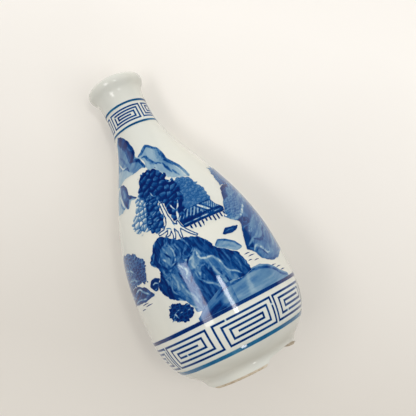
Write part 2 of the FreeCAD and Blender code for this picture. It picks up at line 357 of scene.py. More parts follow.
def glazed_wall():
    """The wall as one round mesh, whose lowest rows slide up to the glaze's edge."""
    azimuths = np.arange(TURN_STEPS) * 360 / TURN_STEPS
    outer = np.arange(0, LIP_ALONG - LIP_REACH, OUTER_STEP)
    lip = np.arange(LIP_ALONG - LIP_REACH, LIP_ALONG + LIP_REACH, OUTER_STEP / 2)
    inner = np.append(np.arange(LIP_ALONG + LIP_REACH, along[-1], INNER_STEP), along[-1])
    stations = np.r_[outer, lip, inner]
    start = station(glaze_edge(azimuths))
    start[start < station(1.3)] = 0
    fold = station(12.0)
    rows = []
    for azimuth, low in zip(azimuths, start):
        moved = np.where(stations < fold, low + stations * (fold - low) / fold, stations)
        rows.append(on_wall(azimuth, moved))
    make_piece("glazed_wall", np.array(rows), grid_faces(TURN_STEPS, len(stations), True), glaze,
               "glaze_coat")


def recess_glaze():
    """The glaze inside the foot ring, a shallow dish that is highest in the middle."""
    low, high = (p.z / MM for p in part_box("recess_glaze"))
    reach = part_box("recess_glaze")[1].x / MM
    turns, rings = 96, np.linspace(0, 1, 24)
    azimuths = np.arange(turns) * 360 / turns
    turn = np.radians(azimuths)[:, None]
    r = reach * rings[None, :]
    z = low + (high - low) * 0.45 * np.cos(rings * math.pi / 2)[None, :] + 0 * turn
    points = np.stack([r * np.sin(turn), -r * np.cos(turn), z], -1) * MM
    make_piece("foot_recess_glaze", points, grid_faces(turns, len(rings), True), glaze,
               "recess_glaze")


# ---------------------------------------------------------------- banding lines and frets

# The upright bars of a fret's spiral, in degrees from the middle of its linking bar, and its level rows
FRET_BARS = (43.5, 39.0, 34.5, 14.5, 10.0, 5.3)
NECK_FRET_BARS = (85.0, 74.0, 64.0, 29.0, 19.5, 10.0)
FRET_ROWS = np.linspace(0, 1, 6)

# How far a fret line's ink spreads on each side, and how deep it is across the line
BLEED = 0.2
BLEED_INK = (0.0, 0.5, 1.0, 1.0, 1.0, 1.0, 0.5, 0.0)


def waver(azimuth, seed, size):
    """A brush line's slow change of level, width or ink round the bottle."""
    turn = np.radians(azimuth)
    return size * (np.sin(2 * turn + seed) + 0.6 * np.sin(5 * turn + 2 * seed)
                   + 0.4 * np.sin(11 * turn + seed))


def banding_line(name, material, depth, seed, spread=0.18):
    """A line round the bottle, whose soft rims spread past each side of its CAD film."""
    low, high = (p.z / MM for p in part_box(name))
    width = high - low
    azimuths = np.arange(0, 360, 0.75)
    across = np.linspace(-1, 1, 15)
    middle = (low + high) / 2 + waver(azimuths, seed, width * 0.03)
    half = (width / 2 + spread) * (1 + waver(azimuths, seed + 2, 0.04))
    heights = middle[:, None] + across[None, :] * half[:, None]
    points = np.array([on_wall(a, station(z), LINE_LIFT) for a, z in zip(azimuths, heights)])
    rim = ease(-0.25, 0.35, 1 - np.abs(across))[None, :]
    ink = (depth + waver(azimuths, seed + 4, 0.05))[:, None] * rim
    make_piece(name + "_print", points, grid_faces(len(azimuths), len(across), True), material,
               name, ink)


def fret_path(low, high, bars, flip):
    """One fret line: from the middle of its first spiral out, over its link, into its second."""
    outer, second, third, start, inner, near = bars
    rows = low + FRET_ROWS * (high - low)
    half = [(-start, rows[3]), (-third, rows[3]), (-third, rows[2]), (-inner, rows[2]),
            (-inner, rows[4]), (-second, rows[4]), (-second, rows[1]), (-near, rows[1]),
            (-near, rows[5]), (-outer, rows[5]), (-outer, rows[0]), (0.0, rows[0])]
    mirror = low + high
    whole = half + [(-a, mirror - z) for a, z in reversed(half)]
    return [(a, mirror - z) for a, z in whole] if flip else whole


def ribbon(points, width, step=0.5, columns=5):
    """A grid of (azimuth, height) along a line of the stated width, with mitred corners."""
    scale = math.radians(1) * radius(np.mean([z for _, z in points]))
    flat = np.array([(a * scale, z) for a, z in points])
    legs = np.diff(flat, axis=0)
    legs /= np.hypot(legs[:, 0], legs[:, 1])[:, None]
    side = np.stack([-legs[:, 1], legs[:, 0]], -1)
    rows = []
    for i in range(len(legs)):
        length = np.hypot(*(flat[i + 1] - flat[i]))
        count = max(2, int(length / step))
        before, after = side[max(i - 1, 0)], side[min(i + 1, len(side) - 1)]
        for t in np.arange(count + (i == len(legs) - 1)) / count:
            other = before if t == 0 else after if t == 1 else side[i]
            mitre = (side[i] + other) / (1 + side[i] @ other)
            rows.append((flat[i] + (flat[i + 1] - flat[i]) * t, mitre))
    spread = np.linspace(-width / 2, width / 2, columns)
    grid = np.array([[middle + mitre * s for s in spread] for middle, mitre in rows])
    grid[..., 0] /= scale
    return grid


def strips(name, grids, inks):
    """One print of separate strips, each a grid of (azimuth, height) with its ink."""
    points = [on_wall(grid[..., 0], station(grid[..., 1]), PRINT_LIFT).reshape(-1, 3) for grid in grids]
    starts = np.cumsum([0] + [len(p) for p in points])
    faces = [grid_faces(*grid.shape[:2], False) + start for grid, start in zip(grids, starts)]
    make_piece(name + "_print", np.concatenate(points), np.concatenate(faces), cobalt, name,
               np.concatenate([ink.ravel() for ink in inks]))


def fret(name, bars, pairs, middle, width, flip, depth):
    """A fret band: lines of uneven ink, each with a few short breaks."""
    low, high = (p.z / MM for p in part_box(name))
    low, high = low + width / 2, high - width / 2
    random = np.random.default_rng(len(name))
    grids, inks = [], []
    for pair in range(pairs):
        grid = ribbon(fret_path(low, high, bars, flip), width + 2 * BLEED, columns=len(BLEED_INK))
        grid[..., 0] = grid[..., 0] + middle + pair * 360 / pairs
        length = np.arange(grid.shape[0])
        tone = depth + 0.06 * np.sin(length / 9 + pair) + 0.05 * random.standard_normal(len(length))
        ink = tone[:, None] * np.array(BLEED_INK)[None, :]
        for gap in random.choice(len(length), 3):
            ink[gap:gap + 2] *= 0.12
        grids.append(grid)
        inks.append(ink)
    strips(name, grids, inks)


# ---------------------------------------------------------------- the painter's marks

def noise(x, z, seed):
    """Smooth noise from 0 to 1, with one random value per unit square."""
    table = np.random.default_rng(seed).random((256, 256))
    i, j = np.floor(x).astype(int), np.floor(z).astype(int)
    u, v = ease(0, 1, x - i), ease(0, 1, z - j)

    def at(a, b):
        return table[(i + a) % 256, (j + b) % 256]

    return (at(0, 0) * (1 - u) + at(1, 0) * u) * (1 - v) + (at(0, 1) * (1 - u) + at(1, 1) * u) * v


def clouds(x, z, seed):
    """Noise with finer noise in it, from 0 to 1."""
    return (noise(x, z, seed) + 0.5 * noise(2 * x, 2 * z, seed + 1)
            + 0.25 * noise(4 * x, 4 * z, seed + 2)) / 1.75


def clumps(x, z, seed):
    """The nearest of scattered centres, one per unit square: the offset across and up, the nearness of the
    next clump, and the clump's own random number."""
    random = np.random.default_rng(seed)
    shift = random.random((256, 256, 2)) * 0.7 + 0.15
    lots = random.random((256, 256))
    i, j = np.floor(x).astype(int), np.floor(z).astype(int)
    best, second = np.full(x.shape, 9.0), np.full(x.shape, 9.0)
    across, up, lot = (np.zeros(x.shape) for _ in range(3))
    for a in (-1, 0, 1):
        for b in (-1, 0, 1):
            p, q = (i + a) % 256, (j + b) % 256
            dx, dz = x - (i + a) - shift[p, q, 0], z - (j + b) - shift[p, q, 1]
            gap = np.hypot(dx, dz)
            closer = gap < best
            second = np.where(closer, best, np.minimum(second, gap))
            best = np.where(closer, gap, best)
            across, up = np.where(closer, dx, across), np.where(closer, dz, up)
            lot = np.where(closer, lots[p, q], lot)
    return across, up, second - best, lot


def curve_through(points):
    """A smooth line through the points, as six straight pieces from each to the next."""
    p = np.array(points, float)
    if len(p) < 3:
        return p
    slope = np.gradient(p, axis=0)
    t = np.linspace(0, 1, 6, endpoint=False)[:, None]
    runs = [hermite(t, *ends) for ends in zip(p[:-1], p[1:], slope[:-1], slope[1:])]
    return np.concatenate(runs + [p[-1:]])


def node_outline(name):
    """The sides of a CAD print's outer face, as pairs of (azimuth, height), all the same way round."""
    mesh, points = cad_mesh(name)
    centre = math.atan2(points[:, 0].mean(), -points[:, 1].mean())
    turn = np.arctan2(points[:, 0], -points[:, 1]) - centre
    turn = (turn + math.pi) % (2 * math.pi) - math.pi + centre
    flat = np.round(np.stack([np.degrees(turn), points[:, 2]], -1), 2)
    found = {}
    for face in mesh.polygons:
        middle = face.center
        if face.normal.x * middle.x + face.normal.y * middle.y > 0.5 * math.hypot(middle.x, middle.y):
            loop = [tuple(flat[i]) for i in face.vertices]
            for side in zip(loop, loop[1:] + loop[:1]):
                if found.pop(side[::-1], None) is None:
                    found[side] = True
    return np.array([side for side in found if side[0] != side[1]])


# The brush marks' width round the bottle is measured at this share of the belly's radius.
MARK_SCALE = 0.85


class Canvas:
    """A print's patch of the wall: a grid of azimuths and heights, with the depth of ink at each.

    The edge is the distance in mm into the CAD print's outline, softened, grown, roughened and, for leafy
    prints, broken into clumps. The seed also sets the layer: a higher one lies on top.
    """

    def __init__(self, name, seed, rough, grain=1.6, leafy=0.0, soften=2, grow=0.35):
        self.name, self.seed, self.leafy = name, seed, leafy
        sides = node_outline(name)
        low, high = sides.min((0, 1)), sides.max((0, 1))
        pad = 1.2
        step = math.degrees(PAINT_STEP / radius((low[1] + high[1]) / 2))
        reach = step * pad / PAINT_STEP
        self.azimuth, self.height = np.meshgrid(
            np.arange(low[0] - reach, high[0] + reach, step),
            np.arange(low[1] - pad, high[1] + pad, PAINT_STEP), indexing="ij")
        self.scale = math.radians(1) * radius(self.height)
        self.x = self.azimuth * math.radians(1) * BELLY_R * MARK_SCALE
        self.z = self.height
        edge = self.gap(sides) * np.where(self.within(sides), 1, -1)
        for _ in range(soften):
            edge = self.blur(edge)
        edge += grow + rough * self.mottle(grain, 0)
        if leafy:
            across, up = self.clumps(leafy)[:2]
            edge += leafy * (0.4 - 0.85 * np.hypot(across, up))
        self.edge = edge
        self.ink = np.zeros(self.x.shape)

    def blur(self, values):
        for axis in (0, 1):
            padded = np.concatenate([values.take([0, 0], axis), values, values.take([-1, -1], axis)], axis)
            size = values.shape[axis]
            values = sum(padded.take(range(k, k + size), axis) for k in range(5)) / 5
        return values

    def gap(self, sides):
        """The distance in mm to the nearest of some straight pieces."""
        nearest = np.full(self.azimuth.shape, 1e9)
        for (a0, z0), (a1, z1) in sides:
            ax, az = (self.azimuth - a0) * self.scale, self.height - z0
            bx, bz = (a1 - a0) * self.scale, z1 - z0
            t = np.clip((ax * bx + az * bz) / np.maximum(bx * bx + bz * bz, 1e-9), 0, 1)
            nearest = np.minimum(nearest, np.hypot(ax - t * bx, az - t * bz))
        return nearest

    def within(self, sides):
        """Where a closed line holds the grid's points: where it turns once round them."""
        turned = np.zeros(self.azimuth.shape)
        for (a0, z0), (a1, z1) in sides:
            x0, x1 = a0 - self.azimuth, a1 - self.azimuth
            y0, y1 = z0 - self.height, z1 - self.height
            turned += np.arctan2(x0 * y1 - x1 * y0, x0 * x1 + y0 * y1)
        return np.abs(turned) > math.pi

    def mottle(self, size, layer):
        """Clouds of the stated size, from -1 to 1."""
        return 2 * clouds(self.x / size, self.z / size, self.seed + layer) - 1

    def leaning(self, lean, length, width):
        """Places along and across marks of the stated size that lean in degrees from upright."""
        turn = math.radians(lean)
        return ((self.x * math.sin(turn) + self.z * math.cos(turn)) / length,
                (self.x * math.cos(turn) - self.z * math.sin(turn)) / width)

    def lay(self, cover, depth):
        """Ink of one depth over what is there, as far as the cover goes."""
        self.ink += (depth - self.ink) * np.clip(cover, 0, 1)

    def wash(self, depth, cloud, size=5.0):
        self.ink[:] = depth + cloud * self.mottle(size, 9)

    def stroke(self, points, width, depth, soft=0.3):
        """A brush line through the points, with tapered ends and a slightly shaky width."""
        line = curve_through(points)
        shake = 1 + 0.5 * (noise(self.x / 1.3, self.z / 1.3, self.seed + 3) - 0.5)
        tips = [np.hypot((self.azimuth - a) * self.scale, self.height - z)
                for a, z in (points[0], points[-1])]
        taper = 0.35 + 0.65 * ease(0, 2.2 * width, np.minimum(*tips))
        half = width / 2 * shake * taper
        patchy = 0.55 + 0.45 * ease(0.25, 0.5, noise(self.x / 0.9, self.z / 0.9, self.seed + 13))
        self.lay((1 - ease(half - soft, half + soft, self.gap(zip(line[:-1], line[1:])))) * patchy, depth)

    def strokes(self, *marks):
        """Brush lines in turn, each with what one stroke takes."""
        for mark in marks:
            self.stroke(*mark)

    def area(self, points, depth, soft=0.6, strength=1.0):
        """A patch of another depth with uneven, soft sides."""
        edge = self.inside(points) + 0.9 * self.mottle(2.2, 17)
        self.lay(ease(-soft, soft, edge) * strength, depth)

    def fade(self, start, end, depth):
        """The ink changes towards one depth as the azimuth falls from start to end."""
        self.lay(ease(-start, -end, -self.azimuth), depth)

    def streaks(self, lean, length, width, amount):
        """Brush texture: long leaning marks whose ink runs deeper and thinner."""
        along_it, across_it = self.leaning(lean, length, width)
        bend = 1.5 * noise(self.x / 6, self.z / 6, self.seed + 23)
        marks = clouds(across_it + bend, along_it, self.seed + 29)
        self.ink += amount * (2 * ease(0.3, 0.7, marks) - 1) * self.ink

    def clumps(self, size):
        bend = 0.5 * noise(self.x / size, self.z / size, self.seed + 41)
        return clumps(self.x / size + bend, self.z / size * 1.25 + bend, self.seed + 31)

    def leaves(self, low, high, rim_depth, cover=1.0, size=None, share=0.0, gap=0.2):
        """Clumps whose ink runs from low to high up each one, with a thin line between them and a glint on a
        share of them."""
        across, up, rim, lot = self.clumps(size or self.leafy)
        grain = 0.12 * self.mottle(0.8, 43)
        self.lay(cover, low + (high - low) * ease(-0.4, 0.45, up - 0.4 * across + 0.3 * (lot - 0.5)) + grain)
        self.lay((1 - ease(gap * 0.15, gap, rim)) * cover, rim_depth)
        glint = 1 - ease(0.1, 0.3, np.hypot(across * 0.7, (up + 0.15) * 1.6))
        self.lay(glint * (lot < share) * cover, 0.15)

    def veins(self, lean, size, depth, cover):
        """Broken, leaning lines along the middle level of a stretched noise."""
        thin = 0.06
        long, wide = self.leaning(lean, size * 2.4, size)
        bend = 1.2 * noise(self.x / 3.5, self.z / 3.5, self.seed + 47)
        field = noise(wide + bend, long + bend, self.seed + 53)
        broken = ease(0.35, 0.6, noise(self.x / 2.5, self.z / 2.5, self.seed + 59))
        self.lay((1 - ease(thin * 0.4, thin, np.abs(field - 0.5))) * cover * broken, depth)

    def inside(self, points):
        """The distance in mm into a closed line through the points, which is below zero outside it."""
        closed = points + points[:1]
        sides = list(zip(closed[:-1], closed[1:]))
        return self.gap(sides) * np.where(self.within(sides), 1, -1)

    def region(self, points, soft):
        """1 inside a closed line through the points and 0 outside it, with a soft side."""
        return ease(-soft, soft, self.inside(points))

    def extend(self, points):
        """The film also covers this patch, where the next print lies over it."""
        self.edge = np.maximum(self.edge, self.inside(points))

    def piece(self, slot, thin_rim=True):
        """The print as a film: the painted cells, with the outermost points drawn in to the outline."""
        ink = np.clip(self.ink, 0, 1)
        if thin_rim:
            ink *= ease(-0.1, 0.12, self.edge)
        slope_a, slope_z = np.gradient(self.edge, self.azimuth[:, 0], self.height[0])
        slope_a /= self.scale
        steep = np.maximum(slope_a**2 + slope_z**2, 0.25)
        move = np.clip(np.where(self.edge < 0, -self.edge, 0), 0, PAINT_STEP * 1.2) / steep
        azimuth = self.azimuth + move * slope_a / self.scale
        height = self.height + move * slope_z
        faces = grid_faces(*self.edge.shape, False)
        faces = faces[(self.edge.ravel()[faces] > 0).any(1)]
        used, faces = np.unique(faces, return_inverse=True)
        lift = PRINT_LIFT + LAYER_LIFT * self.seed
        points = on_wall(azimuth.ravel()[used], station(height.ravel()[used]), lift)
        make_piece(self.name + "_print", points, faces.reshape(-1, 4), cobalt, self.name,
                   ink.ravel()[used])


# ---------------------------------------------------------------- the painted landscape

# The rock's foot and the shore run on under the upper foot line, down to this height.
LINE_TOP = 32.7


def far_peak():
    art = Canvas("far_peak", 21, rough=0.3, grow=0.5)
    art.wash(0.42, 0.1)
    art.area([(-52, 139), (-40, 138), (-25, 134), (-17, 124.5), (-24, 120), (-31, 118.5), (-33, 123),
              (-37, 127), (-45, 130.5), (-56, 133)], 0.93)
    art.area([(-78, 121), (-53, 118.6), (-40, 117.4), (-33, 114.6), (-24, 110), (-78, 110)], 0.2)
    art.strokes(
        ([(-46, 131), (-38, 128), (-34, 124.5), (-31, 120)], 1.6, 0.72),
        ([(-56, 126), (-48, 124), (-42, 121), (-38, 119.5)], 1.3, 0.62),
        ([(-30, 128.5), (-27, 126.5), (-23.5, 125.5)], 0.7, 0.6),
        ([(-64, 124), (-55, 121.2), (-49, 119.2), (-40, 118.2), (-36.5, 115.4)], 0.9, 0.03),
        ([(-44, 118.5), (-38, 117.4), (-34.5, 115.4)], 1.6, 0.82),
        ([(-31, 120), (-22, 119), (-15, 117.6), (-11.6, 115), (-9.6, 111.6)], 1.7, 0.95))
    art.streaks(62, 9, 1.6, 0.16)
    art.fade(-56, -78, 0.3)
    art.piece("cobalt_deep")


def near_ridge():
    art = Canvas("near_ridge", 12, rough=0.3, grow=0.5)
    art.wash(0.24, 0.06)
    art.area([(-60, 112), (-47, 111), (-42, 103), (-43, 97), (-50, 100.5), (-57, 106)], 0.7)
    art.area([(-53, 108.5), (-48, 107.5), (-46.5, 103.5), (-51, 104.5)], 0.42)
    art.strokes(
        ([(-64, 112), (-50, 110.8), (-45, 108.3), (-43, 105), (-40, 102.6), (-35, 101.6), (-30, 100)],
         1.7, 0.97),
        ([(-53, 104), (-48, 100.5), (-44, 97.6)], 1.5, 0.9),
        ([(-60, 103), (-55, 100.2), (-50, 98.4)], 1.3, 0.6),
        ([(-62, 107), (-56, 103.6), (-51.5, 99.8)], 0.9, 0.03))
    art.streaks(58, 8, 1.4, 0.14)
    art.fade(-60, -80, 0.2)
    art.piece("cobalt_mid")


def mountain():
    art = Canvas("mountain", 13, rough=0.2, grain=2.4, grow=0.8)
    art.extend([(-10, 113.6), (-7, 109), (0, 106.5), (5, 104), (9, 101), (14, 104), (9, 110), (2, 112.5),
                (-5, 115)])
    art.wash(0.25, 0.06)
    art.strokes(
        ([(13.5, 121), (13.2, 116), (14, 111), (17.5, 108)], 3.4, 0.4, 1.2),
        ([(-17, 120), (-8, 121), (-3, 122.6), (3, 123.7), (8, 122.4), (12, 120.8), (16, 119.8)], 1.5, 0.78),
        ([(16.5, 120), (16.6, 116), (16.8, 112), (20, 109.6), (24, 106.5), (26.4, 102), (27.4, 98)],
         2.1, 0.74),
        ([(-10, 118.4), (-5.5, 118.2), (-2.8, 116.2), (0.6, 113.6), (5, 111.4)], 1.5, 0.82),
        ([(-4, 116.4), (-1.5, 113.4), (2, 111.8)], 1.4, 0.42, 0.6),
        ([(6, 112), (9.5, 110.6)], 1.1, 0.82),
        ([(11.5, 110.4), (13, 107), (14.6, 103.6)], 1.7, 0.8),
        ([(16.6, 104.4), (19.6, 100.6)], 1.7, 0.74),
        ([(21.5, 107), (24.3, 103), (25.2, 98)], 0.8, 0.1),
        ([(3, 106), (7, 104), (9, 101)], 2.0, 0.14, 0.8))
    art.lay((1 - ease(99, 110, art.z)) * 0.5, 0.1)
    art.streaks(25, 9, 2.0, 0.14)
    art.piece("cobalt_pale")


def tree_crown():
    art = Canvas("tree_crown", 24, rough=0.2, grain=1.1, leafy=2.9, grow=0.1)
    art.extend([(3, 88), (28, 88), (31, 83.4), (29, 81), (6, 79.5), (-1, 79.5), (-1, 84)])
    art.leaves(0.4, 0.02, 0.64, gap=0.22)
    right = art.region([(7, 79), (13, 95), (9, 100), (29, 100), (34, 79)], 1.2)
    art.leaves(0.62, 0.4, 0.74, right * (0.55 + 0.45 * ease(0.5, 3.5, art.edge)), size=2.4)
    art.leaves(0.6, 0.42, 0.68, right * 0.4, size=1.4)
    dark = art.region([(-28, 108), (-18, 113), (1, 113), (9, 105), (7.5, 101.5), (10.5, 99), (13, 95),
                       (10, 88), (5, 79), (-1.5, 79), (-7, 79), (-7.5, 90), (-10.5, 91), (-11.5, 78),
                       (-25, 75), (-26, 84), (-21, 95), (-27, 100)], 0.8)
    art.leaves(1.1, 0.5, 1.04, dark, size=4.0, share=0.06)
    art.lay(dark * 0.35 * (1 - ease(0.4, 0.6, noise(art.x / 1.2, art.z / 0.9, 61))), 1.0)
    lower = dark * ease(99, 96, art.z) * ease(-8, -12, art.azimuth)
    art.leaves(1.0, 0.42, 0.95, lower * 0.8, size=2.9, share=0.45)
    for line, width in (([(-9.6, 92.4), (-9.2, 89.6), (-8.8, 86)], 1.2), ([(-8.8, 88.6), (-7.4, 91)], 0.6),
                        ([(-14.4, 98.6), (-13.4, 96.6), (-12, 95.6)], 0.5),
                        ([(-1.6, 79.2), (0.2, 82), (1.4, 84.8)], 1.4),
                        ([(1.2, 84.4), (3.4, 85.8), (5.4, 88.6)], 0.8),
                        ([(0.8, 83.8), (-1.2, 86), (-2.2, 88.4)], 0.6)):
        art.stroke(line, width + 0.9, 1.0)
        art.stroke(line, width, 0.0, 0.2)
    art.piece("cobalt_deep")


def pavilion():
    art = Canvas("pavilion_roof", 36, rough=0.08, soften=1, grow=0.2)
    art.wash(0.24, 0.1, 3)
    art.area([(-2, 78.4), (38, 78.4), (38, 74), (-2, 74)], 0.86, 0.3)
    for start in range(0, 19, 3):
        art.stroke([(start - 1.5, 76.2), (start + 5.5, 83)], 0.85, 0.95, 0.2)
    art.area([(19, 82.8), (29, 82.8), (36, 76.6), (27.6, 76.6)], 0.66)
    for start in range(18, 36, 2):
        art.stroke([(start - 1.5, 76.2), (start + 5.5, 83)], 0.5, 0.18, 0.2)
    art.strokes(
        ([(16.5, 82.4), (25.5, 76.9)], 1.2, 0.04),
        ([(18.5, 82.8), (27.4, 77)], 0.7, 0.95),
        ([(14.6, 82.2), (23.6, 76.6)], 0.6, 0.9),
        ([(7, 82.3), (18, 82.6), (30, 82.2)], 0.9, 0.9),
        ([(29, 82.4), (32, 79.4), (36, 76.3)], 1.0, 0.85),
        ([(-1, 78), (3, 80), (8, 82.2)], 0.9, 0.9),
        ([(-1, 77.2), (12, 76.9), (24, 77.2), (36, 76.8)], 1.1, 0.98),
        ([(0, 74.8), (16, 74.6), (35, 74.7)], 1.1, 0.95))
    for start, width in ((1, 0.35), (8, 0.4), (15, 0.8), (26, 0.4)):
        art.stroke([(start, 75.8), (start + 6, 75.8)], width, 0.06, 0.2)
    art.piece("cobalt_mid", thin_rim=False)
    posts = Canvas("pavilion_stilts", 37, rough=0.06, soften=0, grow=0.12)
    posts.wash(0.95, 0.05)
    short = 2.6 * (noise(posts.x / 1.3, 0 * posts.z, 71) - 0.4)
    posts.lay(1 - ease(-0.3, 0.3, posts.z - posts.z.min() - 1.4 - short), 0.0)
    posts.piece("cobalt_navy")


def roots():
    """A white trunk and roots with dark outlines, which spread over the rock's top."""
    art = Canvas("tree_trunk", 34, rough=0.12, grain=1.2, soften=0, grow=0.2)
    art.lay(1 - ease(0.42, 0.68, art.edge + 0.15 * noise(art.x, art.z, 4)), 1.0)
    for line in ([(-12.6, 78), (-10, 77.4), (-8.8, 76.4)], [(-6.2, 79.4), (-5.4, 77.4)],
                 [(-1.6, 77), (-0.4, 75)]):
        art.stroke(line, 0.4, 0.7, 0.2)
    art.piece("cobalt_navy")


def rock():
    art = Canvas("rock", 28, rough=0.5, grain=1.2)
    art.wash(0.62, 0.12, 4)
    art.leaves(0.5, 0.78, 0.42, 0.5, size=4.2)
    art.streaks(12, 6, 1.3, 0.22)
    art.area([(-35, 67), (-27, 73), (-22, 77), (-14, 76), (-15, 73.4), (-20, 71.4), (-24, 68), (-27, 63)],
             0.96)
    art.area([(-24, 68.6), (-20, 71), (-16, 70), (-15, 65), (-17, 62.6), (-22, 62)], 0.5)
    art.area([(-15, 75), (-6, 72), (2, 70), (11, 66), (13, 60), (5, 59), (0, 64), (-6, 62), (-14, 64)], 0.85,
             strength=0.8)
    art.area([(-36, 56), (-31, 62), (-27, 61), (-27, 54), (-22, 47), (-26, 44), (-33, 51)], 0.96)
    art.area([(-25, 59), (-14, 60), (-8, 55), (-9, 46), (-13, 38), (-17, 41), (-22, 47), (-25, 52)], 0.5,
             strength=0.6)
    art.area([(5, 60), (12, 62), (27, 54), (29, 43), (20, 42), (15, 46), (12.5, 52)], 0.87, strength=0.8)
    art.area([(-8, 52), (-2, 48), (3, 44), (6, 41), (-2, 38), (-11, 36), (-9, 44)], 0.84, strength=0.8)
    art.area([(-1, 57), (4, 55), (6, 48), (2, 45), (-2, 49)], 0.9, strength=0.8)
    art.area([(-9, 60), (-2, 62), (1, 58), (-3, 55), (-8, 56)], 0.36, strength=0.8)
    art.area([(2, 57.4), (8, 57), (13, 53), (12, 49), (6, 50.6), (3, 54)], 0.46, strength=0.75)
    art.area([(4, 50), (8, 50), (10, 44), (5, 43)], 0.46, strength=0.7)
    art.area([(-20, 47), (-15, 47), (-12, 41), (-16, 40)], 0.42, strength=0.6)
    art.veins(14, 2.6, 0.3, 0.6)
    art.veins(-28, 2.0, 0.86, 0.5)
    for line, width, depth in (
            ([(-24, 66), (-21, 64), (-20, 61.6)], 1.0, 0.16),
            ([(-20.5, 70.6), (-18.6, 67), (-19.4, 63)], 0.8, 0.24),
            ([(-15.6, 70.4), (-14, 66.6), (-15.4, 62.4), (-20, 60.6)], 1.0, 0.2),
            ([(-11.6, 69.6), (-9.6, 66), (-10.8, 63)], 0.7, 0.42),
            ([(-8, 72), (-4, 69), (-2.4, 66)], 0.8, 0.36),
            ([(-14.5, 60), (-11.5, 57.4), (-11, 55.6), (-13, 53)], 1.2, 0.16),
            ([(-10, 61.6), (-7, 60), (-3, 60.8), (0, 63.4)], 1.0, 0.12),
            ([(-3, 61), (-5.6, 57), (-3.4, 54.4), (-4.4, 50.6)], 1.6, 0.2),
            ([(0.2, 62.6), (0.4, 59), (3, 57.6), (7.6, 57), (10.6, 54.6), (12, 51.6)], 1.1, 0.08),
            ([(12, 51.6), (13.6, 48), (18, 46.2), (21, 44)], 0.8, 0.2),
            ([(5, 54.6), (6, 50), (8.4, 46.4), (9.6, 42.6)], 1.4, 0.3),
            ([(9, 53), (10.4, 49), (12.6, 45.4)], 0.8, 0.5),
            ([(-6.4, 54), (-5.6, 50.4), (-2, 47), (2.4, 45), (4.6, 42)], 1.0, 0.26),
            ([(-27, 57), (-24.6, 53.6), (-25.4, 50.6), (-22.4, 47.6)], 0.9, 0.4),
            ([(-21.6, 58), (-20, 54), (-21, 50)], 0.9, 0.28),
            ([(-18, 52), (-17, 48), (-13.6, 44.4), (-12.6, 40)], 1.3, 0.3),
            ([(-24, 46.6), (-19.6, 42), (-15, 39)], 1.0, 0.2),
            ([(16, 57), (18, 53), (17, 49.6)], 0.8, 0.55),
            ([(21.6, 53), (23, 49), (22, 45)], 0.8, 0.5)):
        art.stroke(line, width * 0.85, 0.04 + 0.86 * depth, 0.35)
    for line in ([(-20.8, 68), (-17.4, 64.6)], [(-9, 58.4), (-6.6, 60.6), (-2.6, 62.6)],
                 [(-12, 50), (-8, 54)], [(-26, 63.6), (-22, 60.4), (-14, 61.4)], [(11, 43), (10.4, 46)],
                 [(-16.6, 57), (-15.4, 52)]):
        art.stroke(line, 0.8, 0.92)
    art.streaks(-10, 4, 0.7, 0.16)
    art.piece("cobalt_deep")
    foot = Canvas("rock_foot", 29, rough=0.15, grow=1.5)
    foot.edge = np.minimum(foot.edge, foot.z - LINE_TOP)
    foot.wash(0.55, 0.08)
    foot.area([(-18, 32), (-8, 35.4), (0, 37.4), (2, 33), (-4, 31)], 0.9, 1.0)
    foot.area([(1, 36), (5, 41.5), (10, 42), (10, 33)], 0.38, 1.0)
    foot.stroke([(-2, 38.8), (4, 40.8), (9, 41.6)], 0.8, 0.85)
    foot.streaks(60, 6, 1.2, 0.12)
    foot.piece("cobalt_deep", thin_rim=False)


def low_plants():
    art = Canvas("shrub", 30, rough=0.3, grain=0.9, leafy=1.9)
    art.leaves(0.9, 1.1, 0.72, share=0.08)
    art.stroke([(-34, 39.6), (-31.6, 40.6), (-30.4, 38.6)], 0.8, 0.08)
    art.piece("cobalt_navy")
    art = Canvas("boat", 22, rough=0.25, grain=1.0)
    art.wash(0.86, 0.12, 2)
    art.stroke([(25, 64.4), (29, 64.7), (32, 64.4)], 0.5, 0.5)
    art.piece("cobalt_deep")


def hill_and_shore():
    art = Canvas("hill", 15, rough=0.15, grow=0.5)
    art.wash(0.3, 0.06)
    art.stroke([(13.5, 60.6), (17, 62.4), (22, 60.9), (27, 58.5), (30.4, 55.4)], 1.0, 0.66)
    art.stroke([(18, 59), (23, 57.6), (26, 56)], 1.1, 0.42, 0.6)
    art.streaks(70, 8, 1.3, 0.14)
    art.piece("cobalt_pale")
    art = Canvas("shore", 16, rough=0.15, grow=1.5)
    art.edge = np.minimum(art.edge, art.z - LINE_TOP)
    art.wash(0.34, 0.07)
    art.stroke([(9, 41.4), (18, 42), (27, 43), (36, 42.4), (43, 40.9), (48, 38.6), (53, 35.6), (60, 33.8)],
               1.3, 0.7)
    art.stroke([(10, 37.6), (20, 38.6), (30, 39.4)], 2.2, 0.44, 1.0)
    art.area([(20, 38), (24, 42), (25, 34), (21, 34)], 0.24, 1.2)
    art.streaks(82, 10, 1.3, 0.12)
    art.piece("cobalt_pale", thin_rim=False)


